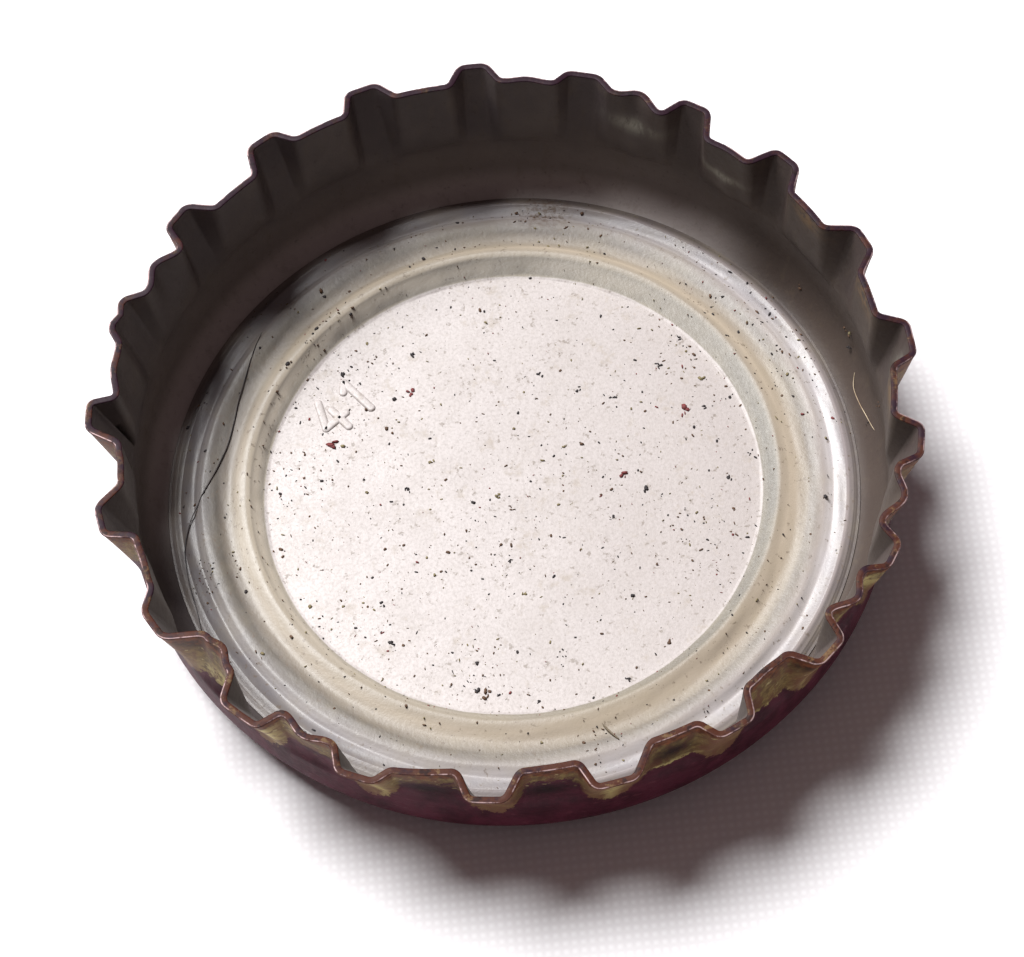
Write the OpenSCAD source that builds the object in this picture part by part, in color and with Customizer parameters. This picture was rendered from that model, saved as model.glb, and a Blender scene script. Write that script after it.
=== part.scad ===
// Crown bottle cap: a pressed tinplate shell with a fluted skirt and a
// moulded sealing liner inside the panel. Millimetres. The cap lies on its
// panel with the open mouth up; the origin is the middle of the panel's
// outside face.

/* [Shell] */
// Outside diameter of the plain part of the skirt
skirt_d = 27; // [22:0.1:33]
// Height of the cap, from the panel's outside face to the rim
cap_h = 6.3; // [5.2:0.1:7.8]
// Height where the flutes rise out of the plain skirt
flute_z = 3; // [2.5:0.1:3.6]
// Thickness of the tinplate sheet
sheet_t = 0.24; // [0.2:0.01:0.3]
// Outside radius of the bend between panel and skirt
corner_r = 1.8; // [1.7:0.1:2.2]

/* [Flutes] */
// Number of flutes round the skirt
flute_count = 21; // [17:1:22]
// Direction of the first flute, degrees from +X
flute_start = 4.2; // [0:0.1:17]
// How far the flute tips stand out beyond the plain skirt at the rim
tip_stand = 0.85; // [0.7:0.05:1.1]
// How far the lands between them stand out beyond it
land_stand = 0; // [-0.15:0.05:0.15]
// Width of the flat along a flute's tip
tip_w = 0.6; // [0.4:0.05:0.8]
// Steepness of a flute's sides, degrees from the skirt
flank_angle = 66; // [55:1:72]
// Bend radius at the edges of a flute, to the middle of the sheet
bend_r = 0.3; // [0.2:0.01:0.36]
// How far the lands are drawn in where they grip under the bottle's lip
waist = 0.15; // [0:0.01:0.25]
// How much lower the flute tips end than the lands
tip_drop = 0.1; // [0:0.02:0.2]
// How much of the bending from use and opening shows: 0 none, 1 as found
wear = 1; // [0:0.1:1]

/* [Liner] */
// How far the liner's thin outer edge ends short of the skirt's inside face
edge_gap = 0.86; // [0.7:0.01:1]
// Width of that thin edge, which lies up the bend, in to the liner's shoulder
feather_w = 0.5; // [0.4:0.02:0.55]
// Width from the shoulder in to the valley beside the outer bead
edge_w = 0.45; // [0.35:0.05:0.6]
// Width from the valley to the crest of the outer bead
valley_w = 0.45; // [0.35:0.05:0.6]
// Width of the outer bead's inner slope, from its crest to the groove
bead_w = 0.8; // [0.6:0.05:1]
// Width from the groove to the crest of the inner bead
groove_w = 0.68; // [0.5:0.02:0.9]
// Width of the inner bead's crown, from its crest to the wall's top
crown_w = 0.18; // [0.12:0.02:0.4]
// How far the wall leans in from its top to its foot at the film
wall_lean = 0.4; // [0.3:0.02:0.5]
// Thickness of the film in the middle
film_t = 0.1; // [0.06:0.01:0.16]
// Thickness of the thin outer edge
feather_t = 0.05; // [0.04:0.01:0.08]
// Height of the inner bead above the panel's inside face
crown_h = 0.95; // [0.7:0.05:1.1]
// Height of the liner at the bottom of the groove pressed by a bottle's lip
groove_h = 0.5; // [0.25:0.01:0.6]
// Height of the outer bead
bead_h = 0.7; // [0.6:0.02:1]
// Height at the bottom of the valley
valley_h = 0.44; // [0.3:0.02:0.56]
// Height of the shoulder
edge_h = 0.48; // [0.4:0.02:0.7]

/* [Hidden] */
$fn = 96;

skirt_r = skirt_d / 2;
tip_r = skirt_r + tip_stand;
land_r = skirt_r + land_stand;
skirt_mid = skirt_r - sheet_t / 2;
// the liner lies this far off the tinplate, the thickness of its adhesion coat
liner_gap = 0.01;
// the fluted band is let into the top of the plain skirt by this height, and
// stands in from both its faces by this much, which leaves the faint crease
// that the press draws under the flutes
let_h = 0.15;
crease = 0.03;

// marks of use, one value a flute or a land, going round from flute_start
// flute set round from its even place, degrees
flute_turn = [-0.1, 0.3, 0.7, -0.2, 0.3, -0.5, -1.1, -1.6, -1.5, -0.7, -1.1,
    -1.5, -0.7, 0.3, 1.1, 1.2, 0.7, 0.8, 0.2, -0.3, 0.6];
// flute tip bent out or in
tip_bend = [-0.05, -0.1, -0.15, -0.15, -0.1, 0.15, 0.2, 0.1, 0.05, 0, 0.1,
    0.05, -0.05, 0.05, 0.25, 0.35, 0.3, 0.1, 0.1, 0.05, 0];
// whole flute spread wider
spread = [0.25, 0.05, 0, 0, 0.1, -0.1, 0.05, 0.05, 0.05, 0.2, 0, 0.05, 0.15,
    0.45, 0.15, 0.15, 0.3, 0.2, 0.15, -0.05, 0.1];
// flute's foot pushed out along the rim, on its first side and on its second
foot_before = [0.1, 0.35, 0.25, 0.2, 0.25, 0.1, 0.15, 0.1, 0.15, 0.1, -0.2,
    0.25, 0.25, 0.1, 0.1, 0.05, 0, 0.05, 0.1, 0.1, 0.15];
foot_after = [0.1, 0.2, 0.05, 0.05, 0.05, -0.15, 0.05, 0.2, 0.1, 0.2, 0.3,
    0.1, 0.45, 0.05, 0.1, 0.1, 0.4, 0.05, 0, 0.05, 0];
// land after that flute bent out or in at the rim
land_bend = [-0.1, -0.25, -0.4, 0, 0.2, 0.2, 0.15, -0.1, 0.05, 0.2, -0.1,
    0.05, -0.2, 0.2, 0.45, 0.25, 0.2, 0, 0.15, 0.15, -0.05];
// that land's far end bent out further than its near end
land_slant = [0.1, 0, 0, 0.3, 0.05, 0.05, 0.05, 0.05, 0.2, -0.3, 0.05, 0.2,
    0.25, 0.2, -0.25, -0.05, 0.05, -0.05, 0.2, 0.05, 0.1];
// its middle pushed out or in
land_push = [0, 0, 0.05, 0.35, 0.1, 0, 0, 0, 0.35, 0.1, -0.05, -0.05, -0.25,
    0.25, 0, 0, 0, -0.05, 0.4, 0.45, 0];
// it is drawn in further at the waist
land_grip = [0, 0.05, 0.15, 0.2, 0, 0, 0, 0, 0.05, 0, 0, 0, 0.1, 0.05, 0, 0,
    0, 0, 0.15, 0.1, 0];
// the flute whose tip has been knocked in, and how far
knocked_flute = 9;
knock = 0.13;

function mark(list, k) = wear * list[k % len(list)];
function flute_dir(k) =
    flute_start + k * 360 / flute_count + mark(flute_turn, k % flute_count);
function tip_mid(k) = tip_r - sheet_t / 2 + mark(tip_bend, k);
function land_mid(k, w) =
    land_r - sheet_t / 2 + mark(land_bend, k) + mark(land_slant, k) * (w - 0.5);

// half of a flute's section, [sideways, share of its height], centre first
rise = tip_r - land_r;
flank_l = (rise - 2 * bend_r * (1 - cos(flank_angle))) / sin(flank_angle);
foot_x = tip_w / 2 + 2 * bend_r * sin(flank_angle) + flank_l * cos(flank_angle);
bend_steps = 3;
tip_edge = [for (i = [0:bend_steps]) let (a = flank_angle * i / bend_steps)
    [tip_w / 2 + bend_r * sin(a), 1 - bend_r * (1 - cos(a)) / rise]];
foot_edge = [for (i = [0:bend_steps])
    let (a = flank_angle * (1 - i / bend_steps))
    [foot_x - bend_r * sin(a), bend_r * (1 - cos(a)) / rise]];
half_section = concat(tip_edge, foot_edge);
half_n = len(half_section);
function across(x) = x / (tip_r - rise / 2) * 180 / PI;

// direction of a point of flute k's section, on its side -1 or 1
function section_dir(k, side, s) =
    let (foot = side < 0 ? mark(foot_before, k) : mark(foot_after, k))
    flute_dir(k)
    + side * across(s[0] + mark(spread, k) / 2 + foot * (1 - s[1]));

// every upright line of the band: [direction, share of the flute, side of the
// flute, its number, share of the way across the land after it]
land_steps = 6;
foot_point = [foot_x, 0];
function flute_lines(k) = concat(
    [for (i = [half_n - 1:-1:0]) let (s = half_section[i])
        [section_dir(k, -1, s), s[1], -1, k, 0]],
    [[flute_dir(k), 1, 0, k, 0]],
    [for (s = half_section) [section_dir(k, 1, s), s[1], 1, k, 0]]);
function land_lines(k) =
    let (last = k + 1 == flute_count)
    let (a = section_dir(k, 1, foot_point))
    let (b = section_dir(last ? 0 : k + 1, -1, foot_point) + (last ? 360 : 0))
    [for (i = [1:land_steps - 1]) let (w = i / land_steps)
        [a + (b - a) * w, 0, 1, k, w]];
lines = [for (k = [0:flute_count - 1])
    each concat(flute_lines(k), land_lines(k))];
line_n = len(lines);

// how tips and lands leave the plain skirt, s going 0 to 1 up the band
waist_at = 0.25;
function tip_lean(s) = 1.12 * s * s / (s + 0.12);
function grip(s) = s / waist_at * exp(1 - s / waist_at);
function hump(w) = pow(sin(180 * w), 2);
function tip_line(k, side, s) =
    let (hit = side == 0 && k == knocked_flute ? wear * knock : 0)
    skirt_mid + (tip_mid(k) - hit - skirt_mid) * tip_lean(s);
function land_line(k, w, s) =
    let (draw = waist + mark(land_grip, k) * hump(w))
    skirt_mid + (land_mid(k, w) - skirt_mid) * s
    + mark(land_push, k) * hump(w) * s * s
    - draw * (grip(s) - grip(1) * s);
function before(k) = (k + flute_count - 1) % flute_count;
function line_r(l, s) =
    let (side = l[2], k = l[3])
    let (land = side < 0 ? land_line(before(k), 1, s) : land_line(k, l[4], s))
    land + (tip_line(k, side, s) - land) * l[1];

// rings of the band, as shares of the height from flute_z to the rim, each
// half a sheet to one side of the sheet's middle
levels = [0.1, 0.28, 0.5, 0.75, 1];
band_h = cap_h - flute_z;
function ring_z(l, s) = flute_z + s * (band_h - tip_drop * l[1]);
function ring(s, h) =
    let (mid = [for (l = lines)
        let (r = line_r(l, s)) [r * cos(l[0]), r * sin(l[0])]])
    [for (i = [0:line_n - 1])
        let (t = mid[(i + 1) % line_n] - mid[(i + line_n - 1) % line_n])
        let (p = mid[i] + h * [t[1], -t[0]] / norm(t))
        [p[0], p[1], ring_z(lines[i], s)]];
function round_ring(h, z) =
    let (r = skirt_mid + h)
    [for (l = lines) [r * cos(l[0]), r * sin(l[0]), z]];
ring_n = 2 * (len(levels) + 2);
band_points = concat(
    round_ring(sheet_t / 2 - crease, flute_z - let_h),
    round_ring(sheet_t / 2 - crease, flute_z),
    [for (s = levels) each ring(s, sheet_t / 2)],
    [for (i = [len(levels) - 1:-1:0]) each ring(levels[i], -sheet_t / 2)],
    round_ring(crease - sheet_t / 2, flute_z),
    round_ring(crease - sheet_t / 2, flute_z - let_h));
band_faces = [for (j = [0:ring_n - 1]) for (i = [0:line_n - 1])
    let (i2 = (i + 1) % line_n, j2 = (j + 1) % ring_n)
    let (a = j * line_n + i, b = j * line_n + i2)
    let (c = j2 * line_n + i2, d = j2 * line_n + i)
    each [[a, d, c], [a, c, b]]];

// the plain pan: flat panel, bend and lower skirt, one sheet thick
module pan() {
    rotate_extrude($fn = 180)
        union() {
            square([skirt_r - corner_r, sheet_t]);
            translate([skirt_r - sheet_t, corner_r])
                square([sheet_t, flute_z - corner_r]);
            translate([skirt_r - corner_r, corner_r])
                intersection() {
                    difference() {
                        circle(r = corner_r);
                        circle(r = corner_r - sheet_t);
                    }
                    translate([0, -corner_r])
                        square(corner_r);
                }
        }
}

// the fluted band from the plain skirt to the rim
module band() {
    polyhedron(points = band_points, faces = band_faces, convexity = 8);
}

module shell() {
    color([0.42, 0.2, 0.25])
        union() {
            pan();
            band();
        }
}

// radii of the liner's rings, each worked out from the one outside it
liner_r = skirt_r - sheet_t - edge_gap;
shoulder_r = liner_r - feather_w;
valley_r = shoulder_r - edge_w;
bead_r = valley_r - valley_w;
groove_r = bead_r - bead_w;
crown_r = groove_r - groove_w;
wall_r = crown_r - crown_w;
film_r = wall_r - wall_lean;
// the wall's top edge is rounded off by this
wall_round = 0.06;
// the shoulder falls to the thin edge over this width
shoulder_fall = 0.16;

// its top, [radius, height above the panel's inside face]: a steep wall from
// the film to the inner bead, then knots joined by smooth swells
knots = [[crown_r, crown_h], [groove_r, groove_h], [bead_r, bead_h],
    [valley_r, valley_h], [shoulder_r, edge_h]];
knot_n = len(knots);
swell_steps = 6;
function swell(a, b, w) =
    [a[0] + (b[0] - a[0]) * w, a[1] + (b[1] - a[1]) * (1 - cos(180 * w)) / 2];
liner_top = concat(
    [[film_r, film_t], [wall_r, crown_h - wall_round]],
    [for (k = [0:knot_n - 2]) for (i = [0:swell_steps - 1])
        swell(knots[k], knots[k + 1], i / swell_steps)],
    [knots[knot_n - 1]]);

// its underside follows the panel's inside and the start of the bend, and the
// thin edge's top runs beside it
bend_in = corner_r - sheet_t - liner_gap;
bend_mid = skirt_r - corner_r;
bend_steps_in = 6;
function up_bend(a, t) =
    [bend_mid + (bend_in - t) * sin(a), bend_in - (bend_in - t) * cos(a)];
edge_foot = asin((shoulder_r + shoulder_fall - bend_mid) / (bend_in - feather_t));
edge_end = asin((liner_r - bend_mid) / bend_in);
thin_edge = [for (i = [0:bend_steps_in])
    up_bend(edge_foot + (edge_end - edge_foot) * i / bend_steps_in, feather_t)];
liner_under = [for (i = [bend_steps_in:-1:0])
    up_bend(edge_end * i / bend_steps_in, 0)];

module liner() {
    color([0.85, 0.82, 0.72])
        translate([0, 0, sheet_t + liner_gap])
            rotate_extrude($fn = 180)
                polygon(concat(
                    [[0, 0], [0, film_t]], liner_top, thin_edge, liner_under));
}

shell();
liner();
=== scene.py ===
from math import cos, pi, radians, sin

import bpy
import numpy as np
from mathutils import Matrix, Vector


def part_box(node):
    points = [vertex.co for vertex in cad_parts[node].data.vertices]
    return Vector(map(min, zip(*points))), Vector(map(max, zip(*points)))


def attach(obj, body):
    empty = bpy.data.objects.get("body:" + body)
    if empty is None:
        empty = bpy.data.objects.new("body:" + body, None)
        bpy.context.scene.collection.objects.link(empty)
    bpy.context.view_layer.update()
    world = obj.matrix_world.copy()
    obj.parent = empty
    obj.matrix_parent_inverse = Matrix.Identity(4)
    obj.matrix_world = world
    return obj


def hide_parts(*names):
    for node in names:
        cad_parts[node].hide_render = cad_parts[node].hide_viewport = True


# A used crown bottle cap lying mouth up. The frame gives the outer sizes, and
# the rest are those that the solids are built with. The shell and the liner
# are drawn again here as fine surfaces, with the finish, the wear and the
# dirt. Lengths are millimetres until a mesh or a light is made.

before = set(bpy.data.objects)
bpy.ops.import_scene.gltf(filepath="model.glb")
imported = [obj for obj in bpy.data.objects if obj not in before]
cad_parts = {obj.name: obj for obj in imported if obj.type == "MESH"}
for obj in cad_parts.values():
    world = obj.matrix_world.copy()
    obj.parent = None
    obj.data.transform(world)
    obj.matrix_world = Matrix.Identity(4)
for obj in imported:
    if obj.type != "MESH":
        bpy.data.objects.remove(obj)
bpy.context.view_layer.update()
MM = 0.001


# ---------------------------------------------------------------- sizes

def box_mm(node):
    """A CAD node's lowest and highest corners in millimetres."""
    low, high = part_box(node)
    return np.array(low) / MM, np.array(high) / MM


def plain_skirt_radius(below):
    """Radius of the plain skirt: the furthest the shell reaches below a height."""
    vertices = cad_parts["shell"].data.vertices
    points = np.empty(3 * len(vertices), np.float32)
    vertices.foreach_get("co", points)
    points = points.reshape(-1, 3) / MM
    low = points[points[:, 2] < below]
    return float(np.hypot(low[:, 0], low[:, 1]).max())


shell_high = box_mm("shell")[1]
liner_low, liner_high = box_mm("liner")
cap_h = float(shell_high[2])
liner_r = float(liner_high[0])
liner_gap = 0.01
base_z = float(liner_low[2])
sheet_t = base_z - liner_gap
flute_z = 3.0
skirt_r = plain_skirt_radius(flute_z - 0.5)
corner_r = 1.8
bend_mid = skirt_r - corner_r

# the flutes, as the shell is built
flute_count = 21
flute_start = 4.2
tip_r = skirt_r + 0.85
land_r = skirt_r
tip_w = 0.6
flank_angle = radians(66)
bend_r = 0.3
waist = 0.15
waist_at = 0.25
tip_drop = 0.1
rise = tip_r - land_r
skirt_mid = skirt_r - sheet_t / 2

# marks of use, one value a flute or a land, going round from flute_start; as
# the solid has them, but with a wider foot after the sixth flute
flute_turn = np.array([
    -0.1, 0.3, 0.7, -0.2, 0.3, -0.5, -1.1, -1.6, -1.5, -0.7, -1.1,
    -1.5, -0.7, 0.3, 1.1, 1.2, 0.7, 0.8, 0.2, -0.3, 0.6])
tip_bend = np.array([
    -0.05, -0.1, -0.15, -0.15, -0.1, 0.15, 0.2, 0.1, 0.05, 0, 0.1,
    0.05, -0.05, 0.05, 0.25, 0.35, 0.3, 0.1, 0.1, 0.05, 0])
spread = np.array([
    0.25, 0.05, 0, 0, 0.1, -0.1, 0.05, 0.05, 0.05, 0.2, 0, 0.05, 0.15,
    0.45, 0.15, 0.15, 0.3, 0.2, 0.15, -0.05, 0.1])
foot_before = np.array([
    0.1, 0.35, 0.25, 0.2, 0.25, 0.1, 0.15, 0.1, 0.15, 0.1, -0.2,
    0.25, 0.25, 0.1, 0.1, 0.05, 0, 0.05, 0.1, 0.1, 0.15])
foot_after = np.array([
    0.1, 0.2, 0.05, 0.05, 0.05, 0.1, 0.05, 0.2, 0.1, 0.2, 0.3,
    0.1, 0.45, 0.05, 0.1, 0.1, 0.4, 0.05, 0, 0.05, 0])
land_bend = np.array([
    -0.1, -0.25, -0.4, 0, 0.2, 0.2, 0.15, -0.1, 0.05, 0.2, -0.1,
    0.05, -0.2, 0.2, 0.45, 0.25, 0.2, 0, 0.15, 0.15, -0.05])
land_slant = np.array([
    0.1, 0, 0, 0.3, 0.05, 0.05, 0.05, 0.05, 0.2, -0.3, 0.05, 0.2,
    0.25, 0.2, -0.25, -0.05, 0.05, -0.05, 0.2, 0.05, 0.1])
land_push = np.array([
    0, 0, 0.05, 0.35, 0.1, 0, 0, 0, 0.35, 0.1, -0.05, -0.05, -0.25,
    0.25, 0, 0, 0, -0.05, 0.4, 0.45, 0])
land_grip = np.array([
    0, 0.05, 0.15, 0.2, 0, 0, 0, 0, 0.05, 0, 0, 0, 0.1, 0.05, 0, 0,
    0, 0, 0.15, 0.1, 0])
knocked_flute = 9
knock = 0.13

# where the band's colour changes: direction in degrees, share of its height
# (below nought on the plain skirt), half width in degrees and half height
RIM_SPOTS = [
    # dark: painted shade in the drawn-in pockets of the lands below the rim
    ("dark", "outside", [
        (253.5, 0.42, 4, 0.26), (270.5, 0.38, 4.6, 0.22), (288.5, 0.52, 3.4, 0.24),
        (213.5, 0.85, 1.6, 0.12), (330, 0.85, 3, 0.15), (338, 0.75, 2.5, 0.2),
        (207, 0.6, 1.2, 0.25), (223, 0.4, 1, 0.4), (310, 0.85, 1.2, 0.15)]),
    ("cream", "outside", [
        (198, 0.8, 2.5, 0.2), (246.6, 0.45, 1.1, 0.6), (256.2, 0.02, 1.4, 0.09),
        (268.3, 0.08, 1.2, 0.08), (279.2, 0.4, 0.7, 0.5), (229.8, 0.6, 1.1, 0.5),
        (217.2, 0.3, 2.6, 0.16), (304.5, 0.14, 4.2, 0.05), (288, 0.2, 4, 0.04),
        (312, 0.4, 0.9, 0.5), (320.5, 0.4, 1.1, 0.3), (326.5, 0.8, 1.8, 0.2),
        (208, 0.9, 1.6, 0.12), (234, 0.85, 1.5, 0.1)]),
    ("worn", "outside", [
        (198, 0.6, 3, 0.3), (217, 0.55, 4, 0.42), (235.5, 0.65, 4.4, 0.32),
        (288, 0.5, 5, 0.36), (304.5, 0.5, 5.2, 0.38), (320, 0.5, 5, 0.4),
        (338, 0.5, 5, 0.4), (209.2, 0.3, 3.4, 0.5), (227.4, 0.3, 3.4, 0.5),
        (245.3, 0.25, 3.6, 0.5), (262.5, 0.25, 3.4, 0.5), (279.2, 0.25, 3.6, 0.5),
        (296.4, 0.25, 3.6, 0.5), (313, 0.25, 3.6, 0.5), (329.6, 0.25, 3.6, 0.5)]),
    ("gold", "inside", [
        (30, 0.9, 3, 0.15), (13, 0.9, 3, 0.15), (356, 0.85, 3, 0.15)]),
    # painted highlights on the dents inside the lands
    ("painted_highlight", "inside", [
        (64, 0.6, 3.6, 0.09), (47.5, 0.48, 3, 0.06), (2, 0.6, 1.5, 0.2)])]


# ---------------------------------------------------------------- mesh helpers

def mesh_piece(name, points, quads, tris, marks=None):
    """A smooth mesh object from arrays of points in millimetres, four-sided and
    three-sided faces, and one value a point for each named mark."""
    mesh = bpy.data.meshes.new(name)
    mesh.vertices.add(len(points))
    mesh.vertices.foreach_set("co", (points * MM).astype(np.float32).ravel())
    corners = np.concatenate([quads.ravel(), tris.ravel()]).astype(np.int32)
    starts = np.concatenate([
        np.arange(len(quads)) * 4,
        len(quads) * 4 + np.arange(len(tris)) * 3]).astype(np.int32)
    mesh.loops.add(len(corners))
    mesh.loops.foreach_set("vertex_index", corners)
    mesh.polygons.add(len(starts))
    mesh.polygons.foreach_set("loop_start", starts)
    mesh.polygons.foreach_set("use_smooth", np.ones(len(starts), bool))
    for mark, values in (marks or {}).items():
        layer = mesh.attributes.new(mark, "FLOAT", "POINT")
        layer.data.foreach_set("value", np.asarray(values, np.float32).ravel())
    mesh.update(calc_edges=True)
    mesh.validate()
    piece = bpy.data.objects.new(name, mesh)
    bpy.context.scene.collection.objects.link(piece)
    return piece


def ring_faces(rings, lines):
    """Faces of a surface of rings stacked one on the next, each ring closed:
    point (ring i, line j) joins (i, j+1), (i+1, j+1) and (i+1, j)."""
    i, j = np.meshgrid(np.arange(rings - 1), np.arange(lines), indexing="ij")
    k = (j + 1) % lines
    a, b = i * lines + j, i * lines + k
    c, d = (i + 1) * lines + k, (i + 1) * lines + j
    return np.stack([a, b, c, d], -1).reshape(-1, 4)


def capped_rings(name, grid, first_pole, last_pole, marks=None):
    """A closed surface: rings grid[i, j] with a pole point before the first
    ring and one after the last, so that no seam or hole is left."""
    rings, lines = grid.shape[:2]
    points = np.concatenate([grid.reshape(-1, 3), [first_pole, last_pole]])
    first, last = rings * lines, rings * lines + 1
    j = np.arange(lines)
    k = (j + 1) % lines
    top = (rings - 1) * lines
    tris = np.concatenate([
        np.stack([np.full(lines, first), k, j], -1),
        np.stack([np.full(lines, last), top + j, top + k], -1)])
    padded = {}
    for mark, values in (marks or {}).items():
        flat = np.broadcast_to(values, (rings, lines)).ravel()
        padded[mark] = np.append(flat, [flat[0], flat[-1]])
    return mesh_piece(name, points, ring_faces(rings, lines), tris, padded)


def smooth(low, high, x):
    """Nought below low, one above high, and a smooth rise between."""
    t = np.clip((x - low) / (high - low), 0, 1)
    return t * t * (3 - 2 * t)


# ---------------------------------------------------------------- shell

BEND_STEPS = 7
LAND_STEPS = 14
crease_depth, crease_w = 0.008, 0.12


def across(x):
    """Length along the rim turned into an angle."""
    return x / (tip_r - rise / 2)


def half_section():
    """Half of a flute's section, from its middle outward: sideways distance
    and share of its height along a flat tip, a bend, a straight flank and a
    bend back to the land."""
    turn = np.linspace(0, flank_angle, BEND_STEPS + 1)
    flank = (rise - 2 * bend_r * (1 - cos(flank_angle))) / sin(flank_angle)
    foot = tip_w / 2 + 2 * bend_r * sin(flank_angle) + flank * cos(flank_angle)
    side = np.concatenate([
        tip_w / 2 + bend_r * np.sin(turn), foot - bend_r * np.sin(turn[::-1])])
    share = np.concatenate([
        1 - bend_r * (1 - np.cos(turn)) / rise,
        bend_r * (1 - np.cos(turn[::-1])) / rise])
    return side, share


def band_lines():
    """Every upright line of the fluted band, in order round the rim: its
    direction, its share of the flute's height, the side of the flute it is
    on, the flute's number and how far across the land after it it stands."""
    side, share = half_section()
    n = len(side)
    x = np.concatenate([-side[::-1], [0], side])
    b = np.concatenate([share[::-1], [1], share])
    sign = np.sign(x)
    k = np.arange(flute_count)[:, None]
    middle = np.radians(flute_start + k * 360 / flute_count + flute_turn[k])
    foot = np.where(sign < 0, foot_before[k], foot_after[k])
    wide = spread[k] / 2 + foot * (1 - b)
    flutes = middle + sign * across(np.abs(x) + np.where(sign == 0, 0, wide))
    ends = np.append(flutes[1:, 0], flutes[0, 0] + 2 * pi)[:, None]
    way = np.arange(1, LAND_STEPS) / LAND_STEPS
    lands = flutes[:, -1:] + (ends - flutes[:, -1:]) * way

    def both(on_flute, on_land):
        shape = (flute_count, 2 * n + 1), (flute_count, LAND_STEPS - 1)
        return np.concatenate([
            np.broadcast_to(on_flute, shape[0]),
            np.broadcast_to(on_land, shape[1])], 1).ravel()

    return (both(flutes, lands), both(b, 0), both(sign, 1), both(k, k),
            both(0, way))


def sheet_middle(lines, s):
    """Radius of the middle of the sheet on each line at shares s of the band's
    height. A tip runs out as 1.12 s^2/(s+0.12). A land runs straight from the
    skirt to its end, is pushed by its own dent, and is drawn in by a hump
    that peaks at waist_at. A line between the two mixes them by its share."""
    share, side, k, way = lines[1:]
    k = k.astype(int)
    land = np.where(side < 0, (k + flute_count - 1) % flute_count, k)
    w = np.where(side < 0, 1.0, way)
    hump = np.sin(pi * w) ** 2
    end = land_r - sheet_t / 2 + land_bend[land] + land_slant[land] * (w - 0.5)
    draw = waist + land_grip[land] * hump
    grip = s / waist_at * np.exp(1 - s / waist_at)
    grip_1 = 1 / waist_at * np.exp(1 - 1 / waist_at)
    low = (skirt_mid + (end - skirt_mid) * s + land_push[land] * hump * s * s
           - draw * (grip - grip_1 * s))
    hit = np.where((side == 0) & (k == knocked_flute), knock, 0)
    tip = tip_r - sheet_t / 2 + tip_bend[k] - hit
    high = skirt_mid + (tip - skirt_mid) * 1.12 * s * s / (s + 0.12)
    return low + (high - low) * share


def unevenness(angle, z):
    """Slow waves of a hundredth of a millimetre that handling leaves in the
    sheet: sines round the cap and up it, growing from the bend to the rim."""
    wave = (0.012 * np.sin(5 * angle + 0.7 * z + 1)
            + 0.008 * np.sin(13 * angle - 1.1 * z)
            + 0.006 * np.sin(31 * angle + 2.3 * z + 2))
    return wave * smooth(1.5, 5, z)


def spot(angle, up, middle, height, wide, tall):
    """Weight of an oval spot on the band: a bell curve round a direction in
    degrees and a share of the band's height."""
    turn = (angle - middle + 180) % 360 - 180
    return np.exp(-(turn / wide) ** 2 - ((up - height) / tall) ** 2)


def off_the_middle(xy, h):
    """Points half a sheet off its middle line: each ring's points moved by h
    along the outward normal, found from the points on either side."""
    t = np.roll(xy, -1, 1) - np.roll(xy, 1, 1)
    t /= np.linalg.norm(t, axis=2, keepdims=True)
    return xy + h * np.stack([t[..., 1], -t[..., 0]], -1)


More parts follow.
